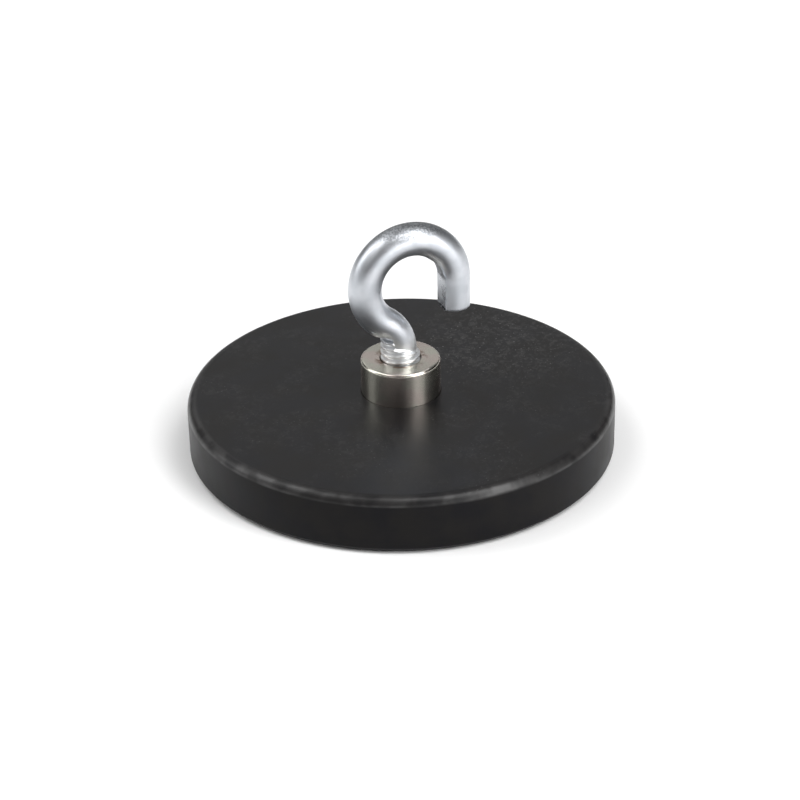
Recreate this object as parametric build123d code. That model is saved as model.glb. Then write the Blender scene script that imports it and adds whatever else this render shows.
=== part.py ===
from build123d import *
import math
import os

# Pot magnet: a rubber-coated magnet disc with a threaded bushing on its top face, and an open
# wire hook screwed into that bushing. Millimetres, +Z up. The origin is the centre of the
# underside, the face that grips.
#
# From the underside up, the disc is a rubber skin, a ring of magnets, the steel back plate that
# closes their field, and a rubber top skin. The bushing is swaged into the plate before the
# rubber is moulded around everything.

# --- rubber jacket ---
FLOOR_SKIN = 0.8              # rubber under the magnets
TOP_SKIN = 1.2                # rubber over the plate
RIM_WALL = 2.5                # rubber around the plate's edge
TOP_EDGE_RADIUS = 1.0
BOTTOM_EDGE_CHAMFER = 0.6

# --- back plate ---
PLATE_DIAMETER = 38.0
PLATE_THICKNESS = 1.5
PLATE_EDGE_CHAMFER = 0.2
PLATE_HOLE_CLEARANCE = 0.05   # around the bushing's spigot

# --- magnet ring ---
MAGNET_COUNT = 6
MAGNET_DIAMETER = 9.0
MAGNET_THICKNESS = 2.5
MAGNET_MARGIN = 1.0           # from the magnets to the plate's edge

# --- threaded bushing ---
BUSHING_DIAMETER = 8.0
BUSHING_PROUD = 3.65          # height above the rubber
BUSHING_EDGE_CHAMFER = 0.3
SPIGOT_DIAMETER = 6.0         # through the plate
SWAGE_DIAMETER = 7.2          # head upset under the plate
SWAGE_HEIGHT = 0.6
SWAGE_EDGE_CHAMFER = 0.3
BORE_FLOOR = 1.2              # metal left under the blind bore
BORE_MOUTH_CHAMFER = 0.1

# --- M4 thread shared by bushing and hook, as plain cylinders at its crest ---
THREAD_DIAMETER = 3.95
THREAD_CLEARANCE = 0.05       # radial, between hook and bore
THREAD_LENGTH = 6.5           # on the hook

# --- open hook ---
WIRE_DIAMETER = 3.3
EYE_DIAMETER = 6.1            # free width inside the loop
EYE_OFFSET = 1.1              # loop's centre beside the shank's axis
NECK_STRAIGHT = 0.15          # plain wire between thread and bend
NECK_RADIUS = 4.0             # bend from shank to loop, at the wire's centre
DIE_RUN_UP = 2.1              # how far above the thread its die shaved the bend's inner side
TIP_LENGTH = 3.35             # straight end, below the loop's centre
TIP_CHAMFER = 0.25
FLAT_DEPTH = 0.35             # flat that the bending mandrel presses into the tip's inner side
FLAT_FADE_ANGLE = 60.0        # where the flat runs out, degrees round the loop from the tip

# --- heights that follow from the stack ---
magnet_z = FLOOR_SKIN
plate_z = magnet_z + MAGNET_THICKNESS
plate_top_z = plate_z + PLATE_THICKNESS
jacket_top_z = plate_top_z + TOP_SKIN
bushing_top_z = jacket_top_z + BUSHING_PROUD
swage_z = plate_z - SWAGE_HEIGHT
bore_floor_z = swage_z + BORE_FLOOR
thread_top_z = bore_floor_z + THREAD_LENGTH
neck_z = thread_top_z + NECK_STRAIGHT

# --- radii that follow ---
jacket_radius = PLATE_DIAMETER / 2 + RIM_WALL
magnet_ring_radius = PLATE_DIAMETER / 2 - MAGNET_MARGIN - MAGNET_DIAMETER / 2
bore_radius = THREAD_DIAMETER / 2 + THREAD_CLEARANCE
wire_radius = WIRE_DIAMETER / 2
loop_radius = EYE_DIAMETER / 2 + wire_radius


def disc(radius, height, z):
    """A plain upright cylinder whose lower face is at height z."""
    return Pos(0, 0, z) * Cylinder(radius, height, align=(Align.CENTER, Align.CENTER, Align.MIN))


def turned(points):
    """A solid turned about Z from a closed outline of (radius, height) points."""
    outline = make_face(Plane.XZ * Polyline(*points, close=True))
    return revolve(outline, Axis.Z)


def plate_blank():
    """The back plate before its hole is punched."""
    blank = disc(PLATE_DIAMETER / 2, PLATE_THICKNESS, plate_z)
    return chamfer(blank.edges().filter_by(GeomType.CIRCLE), PLATE_EDGE_CHAMFER)


def steel_plate():
    """The round back plate, with the hole that the bushing's spigot goes through."""
    hole_radius = SPIGOT_DIAMETER / 2 + PLATE_HOLE_CLEARANCE
    return plate_blank() - disc(hole_radius, PLATE_THICKNESS, plate_z)


def magnets():
    """The ring of disc magnets that lies against the underside of the plate."""
    magnet = disc(MAGNET_DIAMETER / 2, MAGNET_THICKNESS, magnet_z)
    step = 360.0 / MAGNET_COUNT
    return [
        Rot(0, 0, index * step) * Pos(magnet_ring_radius, 0, 0) * magnet
        for index in range(MAGNET_COUNT)
    ]


def bushing_blank():
    """The bushing's outside: proud barrel, shoulder on the plate, spigot and upset head."""
    barrel = BUSHING_DIAMETER / 2
    spigot = SPIGOT_DIAMETER / 2
    head = SWAGE_DIAMETER / 2
    return turned([
        (0, swage_z),
        (head - SWAGE_EDGE_CHAMFER, swage_z),
        (head, swage_z + SWAGE_EDGE_CHAMFER),
        (head, plate_z),
        (spigot, plate_z),
        (spigot, plate_top_z),
        (barrel, plate_top_z),
        (barrel, bushing_top_z - BUSHING_EDGE_CHAMFER),
        (barrel - BUSHING_EDGE_CHAMFER, bushing_top_z),
        (0, bushing_top_z),
    ])


def threaded_bushing():
    """The bushing with its blind bore, chamfered at the mouth."""
    bore = turned([
        (0, bore_floor_z),
        (bore_radius, bore_floor_z),
        (bore_radius, bushing_top_z - BORE_MOUTH_CHAMFER),
        (bore_radius + BORE_MOUTH_CHAMFER, bushing_top_z),
        (0, bushing_top_z),
    ])
    return bushing_blank() - bore


def rubber_jacket():
    """The moulded skin: a soft-edged disc, filled by the plate, the magnets and the bushing."""
    puck = disc(jacket_radius, jacket_top_z, 0)
    rims = puck.edges().filter_by(GeomType.CIRCLE).sort_by(Axis.Z)
    puck = fillet(rims[-1], TOP_EDGE_RADIUS)
    rims = puck.edges().filter_by(GeomType.CIRCLE).sort_by(Axis.Z)
    puck = chamfer(rims[0], BOTTOM_EDGE_CHAMFER)
    return puck - [plate_blank(), bushing_blank(), *magnets()]


def eye_centre():
    """Centre of the hook's loop, set so that neck bend and loop meet in a smooth S."""
    rise = math.sqrt((NECK_RADIUS + loop_radius) ** 2 - (NECK_RADIUS + EYE_OFFSET) ** 2)
    return EYE_OFFSET, neck_z + rise


def hook_wire():
    """The bent wire: shank, neck bend away from the opening, loop over the top, straight tip."""
    eye_x, eye_z = eye_centre()
    tip_x = eye_x + loop_radius
    neck_angle = math.degrees(math.atan2(eye_z - neck_z, NECK_RADIUS + EYE_OFFSET))
    with BuildLine(Plane.XZ) as centreline:
        Line((0, bore_floor_z + THREAD_LENGTH / 2), (0, neck_z))
        CenterArc((-NECK_RADIUS, neck_z), NECK_RADIUS, 0, neck_angle)
        CenterArc((eye_x, eye_z), loop_radius, 180 + neck_angle, -180 - neck_angle)
        Line((tip_x, eye_z), (tip_x, eye_z - TIP_LENGTH))
    path = centreline.line
    wire = sweep(Plane(path @ 0, z_dir=path % 0) * Circle(wire_radius), path)
    tip_rim = wire.edges().filter_by(GeomType.CIRCLE).sort_by(Axis.X)[-1]
    return chamfer(tip_rim, TIP_CHAMFER)


def tip_flat_tool():
    """The mandrel's shape: a round that bites into the loop's end, and a block along the tip."""
    eye_x, eye_z = eye_centre()
    width = 2 * WIRE_DIAMETER
    round_x = eye_x + FLAT_DEPTH
    round_z = eye_z - FLAT_DEPTH / math.tan(math.radians(FLAT_FADE_ANGLE))
    round_part = Pos(round_x, 0, round_z) * Rot(90, 0, 0) * Cylinder(EYE_DIAMETER / 2, width)
    flat_x = round_x + EYE_DIAMETER / 2
    block_part = Pos(flat_x, 0, round_z) * Box(
        wire_radius, width, 2 * TIP_LENGTH, align=(Align.MAX, Align.CENTER, Align.MAX)
    )
    return round_part + block_part


def die_ring(crest):
    """The threading die's shape past the thread: it leaves only what is within the crest."""
    return disc(crest + WIRE_DIAMETER, DIE_RUN_UP, thread_top_z) - disc(
        crest, DIE_RUN_UP, thread_top_z
    )


def open_hook():
    """The wire hook with its thread, seated on the floor of the bushing's bore."""
    crest = THREAD_DIAMETER / 2
    run_out = crest - wire_radius
    thread = turned([
        (0, bore_floor_z),
        (wire_radius, bore_floor_z),
        (crest, bore_floor_z + run_out),
        (crest, thread_top_z - run_out),
        (wire_radius, thread_top_z),
        (0, thread_top_z),
    ])
    return hook_wire() - tip_flat_tool() - die_ring(crest) + thread


pieces = {
    "rubber_jacket": rubber_jacket(),
    "steel_plate": steel_plate(),
    "threaded_bushing": threaded_bushing(),
    "open_hook": open_hook(),
}
for number, magnet in enumerate(magnets(), start=1):
    pieces[f"magnet_{number}"] = magnet

os.makedirs("parts", exist_ok=True)
for name, piece in pieces.items():
    export_step(piece, f"parts/{name}.step")
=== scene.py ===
import logging
import math
from dataclasses import dataclass, field
from enum import Enum

import bmesh
import bpy
from mathutils import Matrix, Vector


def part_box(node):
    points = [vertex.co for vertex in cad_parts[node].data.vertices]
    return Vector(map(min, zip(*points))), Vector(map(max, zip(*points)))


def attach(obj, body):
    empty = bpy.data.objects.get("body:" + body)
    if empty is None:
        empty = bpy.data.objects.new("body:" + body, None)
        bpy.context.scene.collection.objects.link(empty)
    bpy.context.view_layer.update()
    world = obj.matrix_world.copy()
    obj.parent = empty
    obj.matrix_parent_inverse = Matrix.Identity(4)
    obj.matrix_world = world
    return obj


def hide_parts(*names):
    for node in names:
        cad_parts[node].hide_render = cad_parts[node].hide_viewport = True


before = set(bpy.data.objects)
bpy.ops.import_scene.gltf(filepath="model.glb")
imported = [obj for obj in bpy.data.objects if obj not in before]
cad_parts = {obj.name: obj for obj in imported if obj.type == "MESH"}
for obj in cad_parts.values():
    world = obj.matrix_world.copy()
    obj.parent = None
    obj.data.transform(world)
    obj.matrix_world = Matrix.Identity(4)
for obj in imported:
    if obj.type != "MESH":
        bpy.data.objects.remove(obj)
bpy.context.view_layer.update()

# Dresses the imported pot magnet: a moulded rubber disc, a nickel-plated threaded bushing and a
# zinc-plated open hook. Everything is in metres, in the part's own frame: the disc stands on
# z = 0 and the hook lies flat in the XZ plane with its open end towards +X.

Skin = bmesh.types.BMesh
Piece = bpy.types.Object
Socket = bpy.types.NodeSocket
Colour = tuple[float, float, float, float]
Span = tuple[float, float]

MM = 0.001
WHITE: Colour = (1.0, 1.0, 1.0, 1.0)
RISE: Span = (0.0, 1.0)
FALL: Span = (1.0, 0.0)
MERGE_REACH = 1e-7            # how far apart two points may be and still become one
CREASE = 30.0                 # the turn in degrees past which an edge stays crisp
CHAMFER_SLOPE = 45.0          # the slope of the rubber's bottom edge, in degrees
SWAGE_RADIUS = 3.6 * MM       # the bushing's swaged head, which the rubber is moulded around
log = logging.getLogger("pot_magnet")


class Slot(Enum):
    """The names of the record's material slots."""

    RUBBER = "black_rubber"
    NICKEL = "nickel_plating"
    ZINC = "zinc_plating"


def smoothstep(low: float, high: float, value: float) -> float:
    """Rise smoothly from 0 to 1 between two limits.

    Args:
        low: where the rise starts.
        high: where it ends; lower than low gives a fall.
        value: the value to judge.

    Returns:
        A number from 0 to 1.
    """
    t = min(1.0, max(0.0, (value - low) / (high - low)))
    return t * t * (3.0 - 2.0 * t)


def blend_values(a: float, b: float, share: float) -> float:
    """Mix two numbers; share 0 gives a and share 1 gives b."""
    return a + (b - a) * share


# ---------------------------------------------------------------------------------------------
# Mesh tools
# ---------------------------------------------------------------------------------------------


def close_skin(bm: Skin) -> None:
    """Merge doubled points and turn every face outwards."""
    bmesh.ops.remove_doubles(bm, verts=bm.verts, dist=MERGE_REACH)
    bmesh.ops.recalc_face_normals(bm, faces=bm.faces)


def lathe(points: list[Span], steps: int) -> Skin:
    """Turn an outline of (radius, height) points about the Z axis into a closed skin.

    Args:
        points: the outline, from the axis round to the axis again.
        steps: how many flats the full turn gets.

    Returns:
        A bmesh with merged seam and poles and outward normals.
    """
    bm = bmesh.new()
    verts = [bm.verts.new((radius, 0.0, height)) for radius, height in points]
    edges = [bm.edges.new(pair) for pair in zip(verts, verts[1:])]
    bmesh.ops.spin(
        bm, geom=verts + edges, cent=(0, 0, 0), axis=(0, 0, 1),
        angle=2 * math.pi, steps=steps, use_merge=True,
    )
    close_skin(bm)
    return bm


def arc_points(centre: Span, radius: float, start: float, end: float, count: int) -> list[Span]:
    """List points along a round stretch of an outline.

    Args:
        centre: the arc's centre, as (radius, height).
        radius: the arc's own radius.
        start: first angle in degrees, from the outward direction towards up.
        end: last angle in degrees.
        count: how many stretches the arc gets.

    Returns:
        The points, both ends included.
    """
    angles = [math.radians(blend_values(start, end, i / count)) for i in range(count + 1)]
    return [
        (centre[0] + radius * math.cos(a), centre[1] + radius * math.sin(a)) for a in angles
    ]


def make_object(name: str, bm: Skin, crease: float = CREASE) -> Piece:
    """Turn a bmesh into an object at the origin, smooth apart from its crisp edges.

    Args:
        name: the object's name.
        bm: the mesh, which is freed.
        crease: the turn in degrees past which an edge stays crisp.

    Returns:
        The linked object.
    """
    for face in bm.faces:
        face.smooth = True
    for edge in bm.edges:
        edge.smooth = edge.calc_face_angle(0.0) < math.radians(crease)
    mesh = bpy.data.meshes.new(name)
    bm.to_mesh(mesh)
    bm.free()
    piece = bpy.data.objects.new(name, mesh)
    bpy.context.scene.collection.objects.link(piece)
    return piece


def cut_away(bm: Skin, tools: list[Skin]) -> Skin:
    """Cut closed tool shapes out of a closed skin.

    Args:
        bm: the skin to cut, which is freed.
        tools: the shapes to take away, which are freed too.

    Returns:
        A new bmesh of what is left.
    """
    body = make_object("being_cut", bm)
    cutters = [make_object("cutter", tool) for tool in tools]
    for cutter in cutters:
        cut = body.modifiers.new("cut", "BOOLEAN")
        cut.operation = "DIFFERENCE"
        cut.solver = "EXACT"
        cut.object = cutter
    result = bmesh.new()
    result.from_object(body, bpy.context.evaluated_depsgraph_get())
    for spare in [body, *cutters]:
        bpy.data.objects.remove(spare)
    return result


# ---------------------------------------------------------------------------------------------
# Material tools
# ---------------------------------------------------------------------------------------------


@dataclass(frozen=True)
class Grain:
    """One noise pattern.

    Attributes:
        size: the size of one grain.
        detail: how many finer layers it has.
        roughness: how strong the finer layers are.
        stretch: how much longer the grain is along each axis.
        distortion: how far it is warped.
    """

    size: float
    detail: float = 2.0
    roughness: float = 0.5
    stretch: tuple[float, float, float] = (1.0, 1.0, 1.0)
    distortion: float = 0.0


@dataclass(frozen=True)
class Relief:
    """How high a height map stands, and how much of it shows."""

    depth: float
    strength: float


class ShaderGraph:
    """A material's node tree, built one plain step at a time on Object coordinates."""

    def __init__(self, name: str) -> None:
        """Start a material with a bare Principled shader.

        Args:
            name: the material's name.
        """
        self.material = bpy.data.materials.new(name)
        self.material.use_nodes = True
        self.tree = self.material.node_tree
        self.shader = self.tree.nodes["Principled BSDF"]
        self.place = self.add("ShaderNodeTexCoord").outputs["Object"]

    def add(self, kind: str, **settings: object) -> bpy.types.Node:
        """Add a node.

        Args:
            kind: the node's type.
            settings: its properties.

        Returns:
            The node.
        """
        node = self.tree.nodes.new(kind)
        for key, value in settings.items():
            setattr(node, key, value)
        return node

    def feed(self, socket: Socket, value: object) -> None:
        """Link a socket to another socket, or give it a constant.

        Args:
            socket: the input to feed.
            value: an output socket, a number or a colour.
        """
        if isinstance(value, Socket):
            self.tree.links.new(value, socket)
        else:
            socket.default_value = value

    def set(self, **values: object) -> None:
        """Set the shader's inputs; underscores in a name stand for spaces."""
        for key, value in values.items():
            self.feed(self.shader.inputs[key.replace("_", " ")], value)

    def calc(self, operation: str, *values: object) -> Socket:
        """Work out a number.

        Args:
            operation: the Math node's operation.
            values: the sockets and constants that it works on.

        Returns:
            The result.
        """
        node = self.add("ShaderNodeMath", operation=operation)
        for socket, value in zip(node.inputs, values):
            self.feed(socket, value)
        return node.outputs[0]

    def noise(self, grain: Grain) -> Socket:
        """Add noise of a real grain size.

        Args:
            grain: the pattern.

        Returns:
            The noise, from 0 to 1.
        """
        mapping = self.add("ShaderNodeMapping")
        mapping.inputs["Scale"].default_value = [1.0 / s for s in grain.stretch]
        self.feed(mapping.inputs["Vector"], self.place)
        node = self.add("ShaderNodeTexNoise")
        self.feed(node.inputs["Vector"], mapping.outputs[0])
        node.inputs["Scale"].default_value = 1.0 / grain.size
        node.inputs["Detail"].default_value = grain.detail
        node.inputs["Roughness"].default_value = grain.roughness
        node.inputs["Distortion"].default_value = grain.distortion
        return node.outputs["Fac"]

    def remap(self, value: Socket, span: Span, onto: Span = RISE) -> Socket:
        """Stretch a range of values onto another, smoothly and clamped.

        Args:
            value: the number to stretch.
            span: the range that it comes from.
            onto: the range that it goes to.

        Returns:
            The stretched number.
        """
        node = self.add("ShaderNodeMapRange", interpolation_type="SMOOTHSTEP")
        self.feed(node.inputs["Value"], value)
        for socket, number in zip(node.inputs[1:5], (*span, *onto)):
            socket.default_value = number
        return node.outputs[0]

    def mix(self, share: Socket, a: object, b: object) -> Socket:
        """Mix two colours.

        Args:
            share: 0 for the first and 1 for the second.
            a: the first colour.
            b: the second colour.

        Returns:
            The mixed colour.
        """
        node = self.add("ShaderNodeMix", data_type="RGBA")
        for socket, value in zip((node.inputs[0], node.inputs[6], node.inputs[7]), (share, a, b)):
            self.feed(socket, value)
        return node.outputs[2]

    def blend(self, share: Socket, a: object, b: object) -> Socket:
        """Mix two numbers.

        Args:
            share: 0 for the first and 1 for the second.
            a: the first number.
            b: the second number.

        Returns:
            The mixed number.
        """
        node = self.add("ShaderNodeMix", data_type="FLOAT")
        for socket, value in zip((node.inputs[0], node.inputs[2], node.inputs[3]), (share, a, b)):
            self.feed(socket, value)
        return node.outputs[0]

    def bump(self, height: Socket, relief: Relief, normal: Socket | None = None) -> Socket:
        """Raise the surface by a height map.

        Args:
            height: the map, from 0 to 1.
            relief: how high it stands.
            normal: a normal to raise it from.

        Returns:
            The raised normal.
        """
        node = self.add("ShaderNodeBump")
        node.inputs["Distance"].default_value = relief.depth
        node.inputs["Strength"].default_value = relief.strength
        self.feed(node.inputs["Height"], height)
        if normal is not None:
            self.feed(node.inputs["Normal"], normal)
        return node.outputs[0]

    def along(self, axis: str) -> Socket:
        """Read one of the Object coordinates.

        Args:
            axis: its name, X, Y or Z.

        Returns:
            The coordinate in metres.
        """
        node = self.add("ShaderNodeSeparateXYZ")
        self.feed(node.inputs[0], self.place)
        return node.outputs[axis]

    def axis_radius(self, x: float = 0.0, y: float = 0.0) -> Socket:
        """Work out the distance from an upright axis.

        Args:
            x: where the axis stands along X.
            y: where it stands along Y.

        Returns:
            The distance in metres.
        """
        sides = []
        for axis, middle in (("X", x), ("Y", y)):
            off = self.calc("SUBTRACT", self.along(axis), middle)
            sides.append(self.calc("MULTIPLY", off, off))
        return self.calc("SQRT", self.calc("ADD", *sides))


# ---------------------------------------------------------------------------------------------
# Finishes. A span is the stretch of a noise, or of a length, over which something comes in.
# ---------------------------------------------------------------------------------------------


@dataclass(frozen=True)
class MouldedRubber:
    """Black moulded rubber: half matt, faintly mottled, with dust, scuffs and a glossier rim that
    has a painted highlight.
    """

    colour: Colour = (0.0042, 0.0040, 0.0052, 1.0)
    mottled: Colour = (0.0068, 0.0061, 0.0060, 1.0)
    dusty: Colour = (0.14, 0.14, 0.14, 1.0)
    scuffed: Colour = (0.0270, 0.0260, 0.0260, 1.0)
    # painted highlight: this lighter rim colour stands in for the fillet's highlight band
    rim_painted_highlight: Colour = (0.0180, 0.0170, 0.0170, 1.0)
    mottle: Grain = Grain(3.5 * MM, detail=3.0)
    mottle_span: Span = (0.35, 0.65)
    specks: Grain = Grain(0.20 * MM, detail=0.0)
    speck_span: Span = (0.75, 0.82)
    scuffs: Grain = Grain(0.75 * MM, detail=4.0, roughness=0.65, distortion=1.2)
    scuff_span: Span = (0.47, 0.64)
    wear: Grain = Grain(6.0 * MM)
    wear_span: Span = (0.42, 0.62)
    wear_share: float = 0.45                      # wear outside the handled spot
    handled: Span = (13.0 * MM, 6.0 * MM)         # the spot's middle along X and Y
    handled_edge: Span = (4.0 * MM, 13.0 * MM)
    rim_inner: float = 20.35 * MM
    rim_fade: float = 0.8 * MM
    rim_foot: float = 5.0 * MM
    rim_rise: float = 0.3 * MM
    rim_top: float = 5.9 * MM
    rim_step: float = 0.08 * MM
    rim_patches: Grain = Grain(2.2 * MM)
    rim_patch_span: Span = (0.36, 0.62)
    rim_patch_share: Span = (0.4, 1.0)
    rim_lumps: Grain = Grain(0.8 * MM, roughness=0.6)
    rim_relief: Relief = Relief(0.03 * MM, 0.6)
    grain: Grain = Grain(0.10 * MM)
    grain_relief: Relief = Relief(0.003 * MM, 0.5)
    sheen_span: Span = (0.3, 0.7)
    sheen: Span = (0.33, 0.40)
    rim_sheen: float = 0.35
    specular: float = 0.35
    side_specular: float = 0.11
    rim_specular: float = 0.56

    def wear_mask(self, graph: ShaderGraph, high: Socket) -> Socket:
        """Mark where dust and scuffs lie: in the handled spot, and in faint patches elsewhere.

        Args:
            graph: the material being built.
            high: the height above the floor.

        Returns:
            1 where the top is most worn, and 0 on the side wall.
        """
        patches = graph.remap(graph.noise(self.wear), self.wear_span)
        patches = graph.calc("MULTIPLY", patches, self.wear_share)
        spot = graph.remap(graph.axis_radius(*self.handled), self.handled_edge, FALL)
        on_top = graph.remap(high, (self.rim_foot, self.rim_top))
        return graph.calc("MULTIPLY", graph.calc("MAXIMUM", patches, spot), on_top)

    def rim_mask(self, graph: ShaderGraph, high: Socket) -> Socket:
        """Mark the rim band, uneven along its length, which gets a painted highlight and more
        gloss.

        Args:
            graph: the material being built.
            high: the height above the floor.

        Returns:
            1 where the rim's painted highlight and gloss are strongest, and 0 away from it.
        """
        out = graph.remap(graph.axis_radius(), (self.rim_inner, self.rim_inner + self.rim_fade))
        above = graph.remap(high, (self.rim_foot, self.rim_foot + self.rim_rise))
        patches = graph.noise(self.rim_patches)
        uneven = graph.remap(patches, self.rim_patch_span, self.rim_patch_share)
        return graph.calc("MULTIPLY", graph.calc("MULTIPLY", out, above), uneven)

    def material(self) -> bpy.types.Material:
        """Build the material.

        Returns:
            The material.
        """
        graph = ShaderGraph("moulded_rubber")
        high = graph.along("Z")
        mottle = graph.noise(self.mottle)
        worn = self.wear_mask(graph, high)
        rim = self.rim_mask(graph, high)
        base = graph.mix(graph.remap(mottle, self.mottle_span), self.colour, self.mottled)
        for grain, span, tint in (
            (self.scuffs, self.scuff_span, self.scuffed),
            (self.specks, self.speck_span, self.dusty),
        ):
            marks = graph.calc("MULTIPLY", graph.remap(graph.noise(grain), span), worn)
            base = graph.mix(marks, base, tint)
        sheen = graph.remap(mottle, self.sheen_span, self.sheen)
        edge = (self.rim_top, self.rim_top + self.rim_step)
        gloss = graph.remap(high, edge, (self.side_specular, self.specular))
        fine = graph.bump(graph.noise(self.grain), self.grain_relief)
        lumps = graph.calc("MULTIPLY", graph.noise(self.rim_lumps), rim)
        graph.set(
            # painted highlight: the rim gets the lighter colour above
            Base_Color=graph.mix(rim, base, self.rim_painted_highlight),
            Roughness=graph.blend(rim, sheen, self.rim_sheen),
            Specular_IOR_Level=graph.blend(rim, gloss, self.rim_specular),
            Normal=graph.bump(lumps, self.rim_relief, fine),
        )
        return graph.material


@dataclass(frozen=True)
class NickelPlate:
    """Warm nickel over turned steel: lathe marks smear its shine across the turning."""

    warm: Colour = (0.64, 0.568, 0.518, 1.0)
    greenish: Colour = (0.61, 0.60, 0.525, 1.0)
    stained: Colour = (0.25, 0.17, 0.13, 1.0)
    tint: Grain = Grain(2.6 * MM)
    tint_span: Span = (0.4, 0.6)
    stains: Grain = Grain(0.9 * MM)
    stain_span: Span = (0.48, 0.62)
    stain_ring: Span = (2.15 * MM, 2.9 * MM)      # from the bore's edge outwards
    roughness: float = 0.265
    smear: float = 0.63
    smear_turn: float = 0.25

    def material(self) -> bpy.types.Material:
        """Build the material.

        Returns:
            The material.
        """
        graph = ShaderGraph("nickel_plate")
        tint = graph.remap(graph.noise(self.tint), self.tint_span)
        near_bore = graph.remap(graph.axis_radius(), self.stain_ring, FALL)
        stains = graph.remap(graph.noise(self.stains), self.stain_span)
        stains = graph.calc("MULTIPLY", near_bore, stains)
        tangent = graph.add("ShaderNodeTangent", direction_type="RADIAL", axis="Z")
        graph.set(
            Base_Color=graph.mix(stains, graph.mix(tint, self.warm, self.greenish), self.stained),
            Metallic=1.0,
            Roughness=self.roughness,
            Anisotropic=self.smear,
            Anisotropic_Rotation=self.smear_turn,
            Tangent=tangent.outputs[0],
        )
        return graph.material


@dataclass(frozen=True)
class ZincPlate:
    """Satin blue-white zinc: pebbled on top by the bending tool, with painted shade on that
    pebbled patch and a painted highlight on the thread.
    """

    bright: Colour = (0.62, 0.64, 0.675, 1.0)
    cloudy: Colour = (0.55, 0.575, 0.61, 1.0)
    # painted shade: this darker grey darkens the pebbled patch on top of the loop; the pebbles
    # themselves are a bump
    pressed_painted_shade: Colour = (0.27, 0.281, 0.296, 1.0)
    # painted highlight: this lighter colour brightens the thread
    thread_painted_highlight: Colour = (0.84, 0.85, 0.86, 1.0)
    clouds: Grain = Grain(1.6 * MM)
    cloud_span: Span = (0.35, 0.65)
    pebbles: Grain = Grain(0.20 * MM, detail=1.0)
    pebble_relief: Relief = Relief(0.018 * MM, 0.8)
    blotch_span: Span = (0.35, 0.6)
    blotch_share: Span = (0.4, 1.0)
    pressed_shade_from: float = 22.75 * MM
    pressed_shade_fade: float = 0.9 * MM
    pressed_shade_ragged: float = 0.8 * MM              # how unevenly the pebbled, painted-shade patch ends
    thread_top: float = 12.6 * MM
    thread_fade: float = 1.4 * MM
    flat_plane: float = 4.5 * MM                  # where the tip's flat lies along X
    flat_band: float = 0.05 * MM
    flat_top: float = 19.5 * MM
    flat_fade: float = 0.5 * MM
    wiped_span: Span = (0.4, 0.6)
    sheen_span: Span = (0.3, 0.7)
    sheen: Span = (0.35, 0.42)
    thread_sheen: float = 0.40
    flat_sheen: float = 0.27

    def flat_mask(self, graph: ShaderGraph, high: Socket) -> Socket:
        """Mark the mandrel's flat on the tip.

        Args:
            graph: the material being built.
            high: the height above the floor.

        Returns:
            1 on the flat and 0 elsewhere.
        """
        off = graph.calc("SUBTRACT", graph.along("X"), self.flat_plane)
        off = graph.calc("ABSOLUTE", off)
        near = graph.remap(off, (self.flat_band, 2 * self.flat_band), FALL)
        below = graph.remap(high, (self.flat_top - self.flat_fade, self.flat_top), FALL)
        return graph.calc("MULTIPLY", near, below)

    def material(self) -> bpy.types.Material:
        """Build the material.

        Returns:
            The material.
        """
        graph = ShaderGraph("zinc_plate")
        high = graph.along("Z")
        clouds = graph.noise(self.clouds)
        pebbles = graph.noise(self.pebbles)
        ragged = graph.calc("ADD", high, graph.calc("MULTIPLY", clouds, self.pressed_shade_ragged))
        crown = (self.pressed_shade_from, self.pressed_shade_from + self.pressed_shade_fade)
        pressed_and_shaded = graph.remap(ragged, crown)
        blotches = graph.remap(pebbles, self.blotch_span, self.blotch_share)
        thread_sheen_and_highlight = graph.remap(high, (self.thread_top, self.thread_top - self.thread_fade))
        wiped = graph.remap(clouds, self.wiped_span)
        wiped = graph.calc("MULTIPLY", self.flat_mask(graph, high), wiped)
        base = graph.mix(graph.remap(clouds, self.cloud_span), self.bright, self.cloudy)
        # painted shade: the pebbled patch on top is mixed towards the darker grey
        base = graph.mix(graph.calc("MULTIPLY", pressed_and_shaded, blotches), base, self.pressed_painted_shade)
        sheen = graph.remap(clouds, self.sheen_span, self.sheen)
        sheen = graph.blend(thread_sheen_and_highlight, sheen, self.thread_sheen)
        lumps = graph.calc("MULTIPLY", pebbles, pressed_and_shaded)
        graph.set(
            # painted highlight: the thread gets the lighter colour above
            Base_Color=graph.mix(thread_sheen_and_highlight, base, self.thread_painted_highlight),
            Metallic=1.0,
            Roughness=graph.blend(wiped, sheen, self.flat_sheen),
            Normal=graph.bump(lumps, self.pebble_relief),
        )
        return graph.material


@dataclass(frozen=True)
class GrainedMetal:
    """Bare metal with one fine grain, as the two hidden finishes are."""

    name: str
    colour: Colour
    darker: Colour
    grain: Grain
    tint_span: Span
    relief: Relief
    sheen: Span
    sheen_span: Span = (0.3, 0.7)

    def material(self) -> bpy.types.Material:
        """Build the material.

        Returns:
            The material.
        """
        graph = ShaderGraph(self.name)
        grain = graph.noise(self.grain)
        graph.set(
            Base_Color=graph.mix(graph.remap(grain, self.tint_span), self.colour, self.darker),
            Metallic=1.0,
            Roughness=graph.remap(grain, self.sheen_span, self.sheen),
            Normal=graph.bump(grain, self.relief),
        )
        return graph.material


@dataclass(frozen=True)
class PressedSteel(GrainedMetal):
    """Pressed steel of the hidden back plate, oiled and faintly brushed."""

    name: str = "pressed_steel"
    colour: Colour = (0.42, 0.42, 0.43, 1.0)
    darker: Colour = (0.33, 0.33, 0.335, 1.0)
    grain: Grain = Grain(0.2 * MM, detail=3.0, stretch=(18.0, 1.0, 1.0))
    tint_span: Span = (0.35, 0.65)
    relief: Relief = Relief(0.002 * MM, 0.5)
    sheen: Span = (0.28, 0.42)


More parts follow.
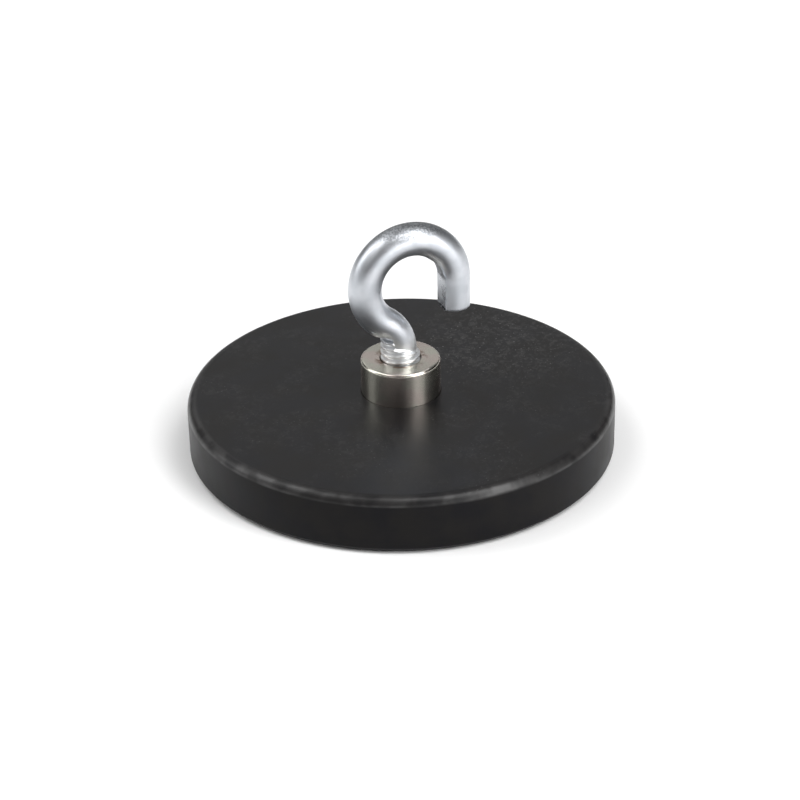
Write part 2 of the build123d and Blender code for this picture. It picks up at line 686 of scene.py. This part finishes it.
@dataclass(frozen=True)
class MagnetPlate(GrainedMetal):
    """Bright nickel coat of the hidden magnet discs, tumbled to a fine pebble."""

    name: str = "magnet_plate"
    colour: Colour = (0.63, 0.61, 0.58, 1.0)
    darker: Colour = (0.52, 0.505, 0.485, 1.0)
    grain: Grain = Grain(0.25 * MM)
    tint_span: Span = (0.4, 0.6)
    relief: Relief = Relief(0.003 * MM, 0.5)
    sheen: Span = (0.18, 0.28)


@dataclass(frozen=True)
class StudioFloor:
    """Plain pale studio table."""

    colour: Colour = (0.98, 0.98, 0.98, 1.0)
    roughness: float = 0.85

    def material(self) -> bpy.types.Material:
        """Build the material.

        Returns:
            The material.
        """
        graph = ShaderGraph("studio_floor")
        graph.set(Base_Color=self.colour, Roughness=self.roughness)
        return graph.material


def paint(piece: Piece, finish: bpy.types.Material) -> Piece:
    """Give a piece or a CAD node its finish.

    Args:
        piece: the object to finish.
        finish: its only material.

    Returns:
        The same object.
    """
    piece.data.materials.clear()
    piece.data.materials.append(finish)
    return piece


def dress(piece: Piece, finish: bpy.types.Material, slot: Slot, *nodes: str) -> Piece:
    """Give a new piece its finish and its body, and hide the CAD nodes that it stands for.

    Args:
        piece: the new piece.
        finish: its material.
        slot: the record's slot that it takes its finish from; not used.
        nodes: the CAD nodes that it replaces.

    Returns:
        The same piece.
    """
    paint(piece, finish)
    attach(piece, "root")
    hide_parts(*nodes)
    return piece


# ---------------------------------------------------------------------------------------------
# The object's pieces
# ---------------------------------------------------------------------------------------------


@dataclass
class RubberJacket:
    """The moulded rubber skin around plate and magnets."""

    steps: int = 256
    top_edge: float = 1.0 * MM
    edge_stretches: int = 10
    bottom_edge: float = 0.6 * MM
    soft_corner: float = 0.3 * MM
    corner_stretches: int = 4
    edge_ring: float = 0.1 * MM       # flat faces get a ring this near to a rounding
    bottom_ring: float = 0.5          # and one more at this share of their radius
    top_ring: float = 0.6
    hole_lip: float = 0.06 * MM
    hole_gap: float = 0.02 * MM
    pocket_overlap: float = 0.2 * MM  # how far a magnet's cutter reaches past it
    pocket_sides: int = 64
    finish: MouldedRubber = field(default_factory=MouldedRubber)

    def hole_radius(self) -> float:
        """Work out the radius of the hole that the bushing stands in."""
        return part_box("threaded_bushing")[1].x + self.hole_gap

    def outer_points(self) -> list[Span]:
        """Draw the outside, from the underside's centre over the rim to the bushing's hole.

        Returns:
            The outline's points.
        """
        low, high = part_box("rubber_jacket")
        radius, top = high.x, high.z
        hole = self.hole_radius()
        soft, lip, count = self.soft_corner, self.hole_lip, self.corner_stretches
        corner = soft * math.tan(math.radians(CHAMFER_SLOPE / 2))
        foot = radius - self.bottom_edge - corner
        rim = (radius - self.top_edge, top - self.top_edge)
        points = [(0.0, low.z), (foot * self.bottom_ring, low.z), (foot - self.edge_ring, low.z)]
        points += arc_points((foot, low.z + soft), soft, -90, -CHAMFER_SLOPE, count)
        upper = (radius - soft, self.bottom_edge + corner)
        points += arc_points(upper, soft, -CHAMFER_SLOPE, 0, count)
        points += arc_points(rim, self.top_edge, 0, 90, self.edge_stretches)
        points += [(rim[0] - self.edge_ring, top), (radius * self.top_ring, top)]
        points += [(hole + 2 * lip, top)]
        points += arc_points((hole + lip, top - lip), lip, 90, 180, count)
        return points

    def outline(self) -> list[Span]:
        """Draw the whole skin: the outside, then the cavity around plate and swaged head.

        Returns:
            The outline's points.
        """
        plate_low, plate_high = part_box("steel_plate")
        swage_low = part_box("threaded_bushing")[0]
        points = self.outer_points()
        points += [(self.hole_radius(), plate_high.z), (plate_high.x, plate_high.z)]
        points += [(plate_high.x, plate_low.z), (SWAGE_RADIUS, plate_low.z)]
        points += [(SWAGE_RADIUS, swage_low.z), (0.0, swage_low.z)]
        return points

    def pockets(self) -> list[Skin]:
        """Make one cutter for each magnet, reaching a little into the plate's space.

        Returns:
            The cutters.
        """
        cutters = []
        for name in sorted(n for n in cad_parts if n.startswith("magnet_")):
            low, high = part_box(name)
            radius = (high.x - low.x) / 2
            depth = high.z - low.z + self.pocket_overlap
            cutter = bmesh.new()
            bmesh.ops.create_cone(
                cutter, cap_ends=True, segments=self.pocket_sides, depth=depth,
                radius1=radius, radius2=radius,
            )
            middle = Vector(((low.x + high.x) / 2, (low.y + high.y) / 2, low.z + depth / 2))
            bmesh.ops.translate(cutter, verts=cutter.verts, vec=middle)
            cutters.append(cutter)
        return cutters

    def build(self) -> Piece:
        """Build and dress the jacket.

        Returns:
            The finished piece.
        """
        skin = cut_away(lathe(self.outline(), self.steps), self.pockets())
        piece = make_object("jacket", skin)
        return dress(piece, self.finish.material(), Slot.RUBBER, "rubber_jacket")


@dataclass(frozen=True)
class ScrewThread:
    """The M4 thread that bushing and hook share, as a radius around the shank's axis."""

    pitch: float = 0.7 * MM
    crest: float = 1.975 * MM
    root: float = 1.56 * MM
    root_share: float = 0.12          # the wave is level below this share of its height
    crest_share: float = 0.88         # and above this one
    crest_height: float = 10.56 * MM
    crest_angle: float = -111.5

    def radius(self, angle: float, height: float) -> float:
        """Work out the hook thread's radius at a place.

        Args:
            angle: round the Z axis, in radians from +X.
            height: above the floor.

        Returns:
            The radius of the rounded thread there.
        """
        turn = (angle - math.radians(self.crest_angle)) / (2 * math.pi)
        phase = (height - self.crest_height) / self.pitch - turn
        wave = (1.0 + math.cos(2 * math.pi * phase)) / 2
        share = smoothstep(self.root_share, self.crest_share, wave)
        return blend_values(self.root, self.crest, share)


@dataclass
class ThreadedBushing:
    """The turned bushing, swaged into the plate and tapped for the hook."""

    steps: int = 192
    spigot: float = 3.0 * MM
    foot_edge: float = 0.3 * MM
    edge: float = 0.3 * MM
    edge_stretches: int = 8
    edge_ring: float = 0.12 * MM      # flat faces get a ring this near to the rounded edge
    mouth_ring: float = 0.3 * MM      # and this near to the bore
    mouth: float = 0.1 * MM
    bore_gap: float = 0.05 * MM
    bore_tolerance: float = 0.01 * MM
    floor: float = 1.2 * MM
    run_out: float = 0.35 * MM
    rings_per_pitch: int = 12
    thread: ScrewThread = field(default_factory=ScrewThread)
    finish: NickelPlate = field(default_factory=NickelPlate)

    def outline(self) -> list[Span]:
        """Draw the bushing from its foot's centre, round the outside and down the bore.

        Returns:
            The outline's points.
        """
        low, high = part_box("threaded_bushing")
        plate_low, plate_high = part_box("steel_plate")
        barrel, head, edge = high.x, SWAGE_RADIUS, self.edge
        bore = self.thread.crest + self.bore_gap
        top, bore_floor = high.z - self.mouth, low.z + self.floor
        points = [(0.0, low.z), (head - self.foot_edge, low.z), (head, low.z + self.foot_edge)]
        points += [(head, plate_low.z), (self.spigot, plate_low.z), (self.spigot, plate_high.z)]
        points += [(barrel, plate_high.z), (barrel, high.z - edge - self.edge_ring)]
        points += arc_points((barrel - edge, high.z - edge), edge, 0, 90, self.edge_stretches)
        points += [(barrel - edge - self.edge_ring, high.z), (bore + self.mouth_ring, high.z)]
        points += [(bore + self.mouth, high.z)]
        count = round((top - bore_floor) / self.thread.pitch * self.rings_per_pitch)
        points += [(bore, blend_values(top, bore_floor, i / count)) for i in range(count + 1)]
        points += [(0.0, bore_floor)]
        return points

    def tap(self, bm: Skin) -> None:
        """Cut the inner thread, in step with the hook's, into the plain bore.

        Args:
            bm: the turned bushing.
        """
        bore = self.thread.crest + self.bore_gap
        rings = [
            v for v in bm.verts
            if abs(math.hypot(v.co.x, v.co.y) - bore) < self.bore_tolerance
        ]
        low, high = min(v.co.z for v in rings), max(v.co.z for v in rings)
        for vert in rings:
            height = vert.co.z
            share = smoothstep(low, low + self.run_out, height)
            share *= smoothstep(high, high - self.run_out, height)
            angle = math.atan2(vert.co.y, vert.co.x)
            cut = self.thread.radius(angle, height) + self.bore_gap
            factor = blend_values(bore, cut, share) / bore
            vert.co.x *= factor
            vert.co.y *= factor

    def build(self) -> Piece:
        """Build and dress the bushing.

        Returns:
            The finished piece.
        """
        skin = lathe(self.outline(), self.steps)
        self.tap(skin)
        piece = make_object("bushing", skin)
        return dress(piece, self.finish.material(), Slot.NICKEL, "threaded_bushing")


@dataclass
class OpenHook:
    """The bent wire hook with its rolled thread.

    The wire bends from the shank into the neck and on round the loop to the tip. The mandrel
    leaves a flat inside the tip, and the thread die shaves the inner side of the neck.
    """

    wire: float = 1.65 * MM
    sides: int = 96
    stretch: float = 0.05 * MM        # the length of one ring on shank and neck
    loop_stretch: float = 2.5         # how much longer it is on loop and tip
    neck_radius: float = 4.0 * MM
    neck_straight: float = 0.15 * MM
    eye_offset: float = 1.1 * MM
    loop_radius: float = 4.7 * MM
    tip_length: float = 3.35 * MM
    tip_edge: float = 0.25 * MM
    tip_stretches: int = 4
    flat_depth: float = 0.35 * MM
    flat_fade: float = 60.0           # degrees round the loop where the flat has run out
    flat_margin: float = 1.01         # it ends just past the tip, in tip lengths
    on_surface: float = 0.999         # places past this share of the wire are on its skin
    thread_length: float = 6.5 * MM
    thread_end: float = 11.35 * MM
    thread_reach: float = 13.2 * MM
    ledge: float = 1.3 * MM           # how much higher it laps over the neck's inner side
    ledge_angles: Span = (54.0, 42.0)
    run_out: float = 0.9 * MM         # how much lower it dies on the other side
    run_out_angles: Span = (40.0, 170.0)
    shank_reach: Span = (0.9, 2.0)    # how far out the thread's places lie, in wire radii
    crest_fade: float = 0.22 * MM
    root_fade: float = 0.4 * MM
    foot_fade: float = 0.35 * MM
    burr_root: Vector = field(default_factory=lambda: Vector((-2.3, -0.85, 12.72)) * MM)
    burr_tip: Vector = field(default_factory=lambda: Vector((-3.36, -1.02, 13.56)) * MM)
    burr_width: float = 0.32 * MM
    burr_point: float = 0.25
    burr_thinness: float = 0.35
    burr_sides: int = 12
    crease: float = 24.0
    thread: ScrewThread = field(default_factory=ScrewThread)
    finish: ZincPlate = field(default_factory=ZincPlate)

    def __post_init__(self) -> None:
        """Work out the heights from the CAD hook's own box."""
        low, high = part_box("open_hook")
        self.foot, self.crown = low.z, high.z
        self.neck = low.z + self.thread_length + self.neck_straight
        reach = self.neck_radius + self.loop_radius
        side = self.neck_radius + self.eye_offset
        self.eye = Vector((self.eye_offset, 0.0, self.neck + math.sqrt(reach**2 - side**2)))
        self.neck_angle = math.atan2(self.eye.z - self.neck, side)

    def push(
        self, bm: Skin, ring: list[bmesh.types.BMEdge], **move: object
    ) -> list[bmesh.types.BMEdge]:
        """Draw the wire on from its open end by one spin.

        Args:
            bm: the wire so far.
            ring: the edges of its open end.
            move: the spin's centre, angle, shift and steps.

        Returns:
            The edges of the new open end.
        """
        geometry = ring + list({v for edge in ring for v in edge.verts})
        settings = {"cent": (0, 0, 0), "axis": (0, 1, 0), "angle": 0.0, "dvec": (0, 0, 0)}
        settings.update(move)
        result = bmesh.ops.spin(bm, geom=geometry, use_duplicate=False, **settings)
        return [g for g in result["geom_last"] if isinstance(g, bmesh.types.BMEdge)]

    def bent_wire(self) -> Skin:
        """Draw the round wire along shank, neck bend, loop and tip.

        Returns:
            The closed wire.
        """
        bm = bmesh.new()
        bmesh.ops.create_circle(bm, segments=self.sides, radius=self.wire)
        bmesh.ops.translate(bm, verts=bm.verts, vec=(0, 0, self.foot))
        ring = list(bm.edges)
        fine, coarse = self.stretch, self.loop_stretch * self.stretch
        shank = self.neck - self.foot
        steps = round(shank / fine)
        ring = self.push(bm, ring, dvec=(0, 0, shank / steps), steps=steps)
        steps = round(self.neck_radius * self.neck_angle / fine)
        side = (-self.neck_radius, 0, self.neck)
        ring = self.push(bm, ring, cent=side, angle=-self.neck_angle, steps=steps)
        turn = math.pi + self.neck_angle
        steps = round(self.loop_radius * turn / coarse)
        ring = self.push(bm, ring, cent=self.eye, angle=turn, steps=steps)
        steps = round(self.tip_length / coarse)
        self.push(bm, ring, dvec=(0, 0, -self.tip_length / steps), steps=steps)
        close_skin(bm)
        bmesh.ops.holes_fill(bm, edges=bm.edges, sides=0)
        ends = [face for face in bm.faces if len(face.verts) == self.sides]
        tip = max(ends, key=lambda face: face.calc_center_median().x)
        bmesh.ops.bevel(
            bm, geom=list(tip.edges), affect="EDGES", offset=self.tip_edge,
            segments=self.tip_stretches, profile=0.5, material=-1,
        )
        bmesh.ops.recalc_face_normals(bm, faces=bm.faces)
        return bm

    def flat_limit(self, place: Vector) -> tuple[Vector, Vector, float]:
        """Say how far the mandrel lets the wire reach towards the inside of the hook.

        Args:
            place: a place on the loop's end or on the tip.

        Returns:
            The wire's centre there, the direction inwards and the greatest reach.
        """
        bite, fade = self.flat_depth, math.radians(self.flat_fade)
        drop = bite / math.tan(fade)
        radius = self.loop_radius - self.wire
        if place.z < self.eye.z:
            centre = Vector((self.eye.x + self.loop_radius, 0.0, place.z))
            above = max(0.0, place.z - self.eye.z + drop)
            flat = self.eye.x + bite + math.sqrt(radius**2 - above**2)
            return centre, Vector((-1.0, 0.0, 0.0)), centre.x - flat
        angle = math.atan2(place.z - self.eye.z, place.x - self.eye.x)
        outward = Vector((math.cos(angle), 0.0, math.sin(angle)))
        across = bite * math.sin(angle) + drop * math.cos(angle)
        along = bite * math.cos(angle) - drop * math.sin(angle)
        reach = self.loop_radius - along - math.sqrt(radius**2 - across**2)
        return self.eye + outward * self.loop_radius, -outward, reach

    def press_flat(self, bm: Skin) -> None:
        """Press the mandrel's flat into the inner side of the tip, with crisp edges.

        Args:
            bm: the wire.
        """
        step = math.pi / self.sides
        end = self.eye.z - self.flat_margin * self.tip_length
        for vert in bm.verts:
            if vert.co.x < self.eye.x or vert.co.z < end:
                continue
            centre, inward, reach = self.flat_limit(vert.co)
            if reach >= self.wire:
                continue
            inner = (vert.co - centre).dot(inward)
            size = math.hypot(inner, vert.co.y)
            edge = math.acos(reach / self.wire)
            angle = math.atan2(abs(vert.co.y), inner)
            if size > self.on_surface * self.wire and abs(angle - edge) < step:
                side = math.copysign(1.0, vert.co.y)
                vert.co = centre + inward * self.wire * math.cos(edge)
                vert.co.y = side * self.wire * math.sin(edge)
            elif inner > reach:
                vert.co += inward * (reach - inner)

    def thread_limit(self, angle: float) -> float:
        """Say how high the thread runs on one side of the neck.

        The neck leans away from +X, so the rolled thread laps high over its inner side and
        dies low on the other.

        Args:
            angle: round the Z axis, in radians from +X.

        Returns:
            The height where the thread ends.
        """
        turn = angle - math.pi
        off = abs(math.degrees(math.atan2(math.sin(turn), math.cos(turn))))
        rise = self.ledge * smoothstep(*self.ledge_angles, off)
        return self.thread_end + rise - self.run_out * smoothstep(*self.run_out_angles, off)

    def roll_thread(self, bm: Skin) -> None:
        """Press the thread's crests and roots into the shank and the start of the neck.

        Args:
            bm: the wire.
        """
        nearest, farthest = (share * self.wire for share in self.shank_reach)
        for vert in bm.verts:
            height = vert.co.z
            plain = math.hypot(vert.co.x, vert.co.y)
            if height > self.thread_reach or plain < nearest or plain > farthest:
                continue
            angle = math.atan2(vert.co.y, vert.co.x)
            limit = self.thread_limit(angle)
            fade = self.crest_fade if plain > self.thread.root else self.root_fade
            share = smoothstep(limit + fade / 2, limit - fade / 2, height)
            share *= smoothstep(self.foot, self.foot + self.foot_fade, height)
            thread_sheen_and_highlight = self.thread.radius(angle, height)
            factor = blend_values(plain, thread_sheen_and_highlight, share) / plain
            vert.co.x *= factor
            vert.co.y *= factor

    def raise_burr(self, bm: Skin) -> None:
        """Leave the sliver that the die raised where its cut ends on the bend.

        Args:
            bm: the wire.
        """
        line = self.burr_tip - self.burr_root
        radius = self.burr_width / 2
        sliver = bmesh.ops.create_cone(
            bm, cap_ends=True, segments=self.burr_sides, depth=line.length,
            radius1=radius, radius2=radius * self.burr_point,
        )["verts"]
        bmesh.ops.scale(bm, verts=sliver, vec=(self.burr_thinness, 1.0, 1.0))
        bmesh.ops.rotate(bm, verts=sliver, matrix=line.to_track_quat("Z", "X").to_matrix())
        bmesh.ops.translate(bm, verts=sliver, vec=self.burr_root + line / 2)

    def build(self) -> Piece:
        """Build and dress the hook.

        Returns:
            The finished piece.
        """
        wire = self.bent_wire()
        self.roll_thread(wire)
        self.press_flat(wire)
        self.raise_burr(wire)
        for vert in wire.verts:
            vert.co.z = min(vert.co.z, self.crown)
        piece = make_object("hook", wire, self.crease)
        return dress(piece, self.finish.material(), Slot.ZINC, "open_hook")


@dataclass
class HiddenCore:
    """The back plate and the magnets inside the jacket, as the CAD made them."""

    plate_finish: PressedSteel = field(default_factory=PressedSteel)
    magnet_finish: MagnetPlate = field(default_factory=MagnetPlate)

    def build(self) -> list[Piece]:
        """Dress the carried-over nodes.

        Returns:
            The dressed nodes.
        """
        steel = self.plate_finish.material()
        coat = self.magnet_finish.material()
        dressed = [paint(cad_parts["steel_plate"], steel)]
        for name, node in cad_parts.items():
            if name.startswith("magnet_"):
                dressed.append(paint(node, coat))
        return dressed


# ---------------------------------------------------------------------------------------------
# Studio
# ---------------------------------------------------------------------------------------------


def direction(azimuth: float, elevation: float) -> Vector:
    """Point from the object towards a viewer.

    Args:
        azimuth: 0 is towards -Y and 90 towards +X, in degrees.
        elevation: above the horizon, in degrees.

    Returns:
        A unit vector.
    """
    a, e = math.radians(azimuth), math.radians(elevation)
    return Vector((math.sin(a) * math.cos(e), -math.cos(a) * math.cos(e), math.sin(e)))


@dataclass(frozen=True)
class SoftBox:
    """One large soft lamp, given by what the object sees of it.

    Attributes:
        name: the lamp's name.
        azimuth: where it stands, in degrees from the camera's own azimuth.
        elevation: how high it stands, in degrees.
        spread: how wide it looks from the object, in degrees.
        rise: how tall it looks, in degrees.
        glow: how bright its face is.
        distance: how far away it hangs.
    """

    name: str
    azimuth: float
    elevation: float
    spread: float
    rise: float
    glow: float
    distance: float = 1.0

    def place(self, facing: float, target: Vector) -> None:
        """Hang the lamp.

        Args:
            facing: the camera's azimuth, which the lamp's own is counted from.
            target: the point that it looks at.
        """
        lamp = bpy.data.lights.new(self.name, "AREA")
        lamp.shape = "RECTANGLE"
        lamp.size = 2 * self.distance * math.tan(math.radians(self.spread / 2))
        lamp.size_y = 2 * self.distance * math.tan(math.radians(self.rise / 2))
        lamp.energy = self.glow * math.pi * lamp.size * lamp.size_y
        holder = bpy.data.objects.new(self.name, lamp)
        bpy.context.scene.collection.objects.link(holder)
        back = direction(facing + self.azimuth, self.elevation)
        holder.location = target + back * self.distance
        holder.rotation_euler = (-back).to_track_quat("-Z", "Y").to_euler()
        holder.visible_camera = False


@dataclass
class Studio:
    """Floor, lamps, room light and camera.

    The camera looks from its azimuth, elevation and distance at the part's origin. Pitch, yaw
    and roll, in degrees, then turn it away from there.
    """

    azimuth: float = -21.5
    elevation: float = 29.70
    distance: float = 226.46 * MM
    pitch: float = 1.053
    yaw: float = -0.033
    roll: float = -1.141
    focal_length: float = 99.98
    sensor: float = 36.0
    clip: Span = (0.01, 20.0)
    floor_size: float = 3.0
    floor: StudioFloor = field(default_factory=StudioFloor)
    room_light: float = 0.02
    lamp_target: float = 8.0 * MM
    lamps: tuple[SoftBox, ...] = (
        SoftBox("right", 52, 25, 32, 54, 4.4),
        SoftBox("right_low", 30, 6, 30, 12, 2.0),
        SoftBox("right_high", 62, 60, 34, 26, 3.5),
        SoftBox("front_high", 38, 68, 34, 30, 1.9),
        SoftBox("left_front", -42, 36, 40, 24, 0.6),
        SoftBox("left_high", -76, 62, 44, 24, 2.5),
        SoftBox("left", -93, 30, 24, 42, 3.0),
        SoftBox("left_low", -72, 5, 22, 12, 1.2),
        SoftBox("back_left", -140, 42, 40, 24, 0.5),
        SoftBox("back_wall", 180, 26, 70, 26, 0.53),
        SoftBox("back_high", 180, 66, 70, 24, 0.6),
    )

    def camera(self) -> None:
        """Set up the camera at its place, turn and lens."""
        back = direction(self.azimuth, self.elevation)
        forward = -back
        right = direction(self.azimuth + 90.0, 0.0)
        up = right.cross(forward)
        turn = Matrix.Rotation(math.radians(self.pitch), 3, right)
        forward, up = turn @ forward, turn @ up
        turn = Matrix.Rotation(math.radians(-self.yaw), 3, up)
        forward, right = turn @ forward, turn @ right
        turn = Matrix.Rotation(math.radians(-self.roll), 3, forward)
        right, up = turn @ right, turn @ up
        data = bpy.data.cameras.new("camera")
        data.sensor_width = self.sensor
        data.lens = self.focal_length
        data.clip_start, data.clip_end = self.clip
        camera = bpy.data.objects.new("camera", data)
        bpy.context.scene.collection.objects.link(camera)
        axes = Matrix((right, up, -forward)).transposed().to_4x4()
        camera.matrix_world = Matrix.Translation(back * self.distance) @ axes
        bpy.context.scene.camera = camera

    def table(self) -> None:
        """Lay the pale floor."""
        bm = bmesh.new()
        bmesh.ops.create_grid(bm, x_segments=2, y_segments=2, size=self.floor_size)
        floor = paint(make_object("floor", bm), self.floor.material())

    def room(self) -> None:
        """Fill the room with a faint even light, and show colours as they are."""
        world = bpy.data.worlds.new("studio")
        world.use_nodes = True
        background = world.node_tree.nodes["Background"]
        background.inputs["Color"].default_value = WHITE
        background.inputs["Strength"].default_value = self.room_light
        scene = bpy.context.scene
        scene.world = world
        scene.view_settings.view_transform = "Standard"
        scene.view_settings.look = "None"

    def build(self) -> None:
        """Build the studio."""
        self.camera()
        self.table()
        self.room()
        for lamp in self.lamps:
            lamp.place(self.azimuth, Vector((0.0, 0.0, self.lamp_target)))


def main() -> None:
    """Build every piece in order, then the studio, and report each one."""
    logging.basicConfig(level=logging.INFO, format="%(name)s %(message)s")
    pieces = [RubberJacket().build(), ThreadedBushing().build(), OpenHook().build()]
    pieces += HiddenCore().build()
    for piece in pieces:
        log.info("%s: %d faces", piece.name, len(piece.data.polygons))
    studio = Studio()
    studio.build()
    log.info("studio: %d lamps", len(studio.lamps))


if __name__ == "__main__":
    main()
